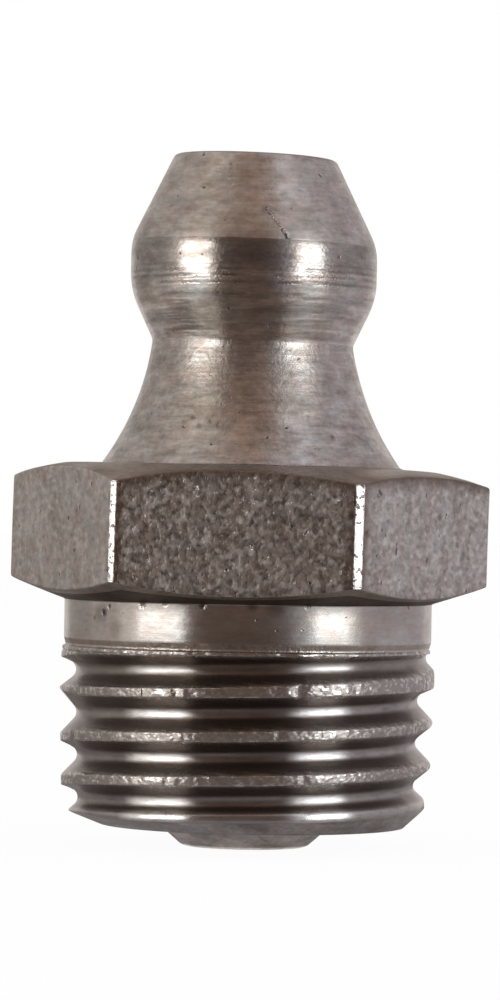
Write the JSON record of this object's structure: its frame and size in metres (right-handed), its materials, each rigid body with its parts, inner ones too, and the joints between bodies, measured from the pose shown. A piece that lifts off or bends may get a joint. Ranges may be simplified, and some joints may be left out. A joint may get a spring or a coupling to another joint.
{
  "type": "grease nipple",
  "caption": "Straight grease nipple with a ball check valve, a hexagon and a short tapered thread.",
  "frame": {"origin": "on the nipple's axis, where the plain collar above the thread meets the underside of the hexagon", "axes": "+Z along the axis towards the head; two opposite flats of the hexagon face +Y and -Y"},
  "size_m": [0.0126, 0.011, 0.0182],
  "materials": {
    "body_steel": "bright plated, turned and cold-drawn",
    "ball_steel": "polished",
    "spring_steel": "drawn wire"
  },
  "bodies": {
    "nipple": {"nipple_body": "body_steel", "valve_spring": "spring_steel"},
    "ball": {"check_ball": "ball_steel"}
  },
  "joints": [
    {"name": "ball_lift", "type": "slide", "parent": "nipple", "child": "ball", "axis": [0, 0, -1], "range_m": [0, 0.001], "stiffness_N_per_m": 1050, "springref_m": -0.001, "deforming": ["valve_spring"]}
  ]
}
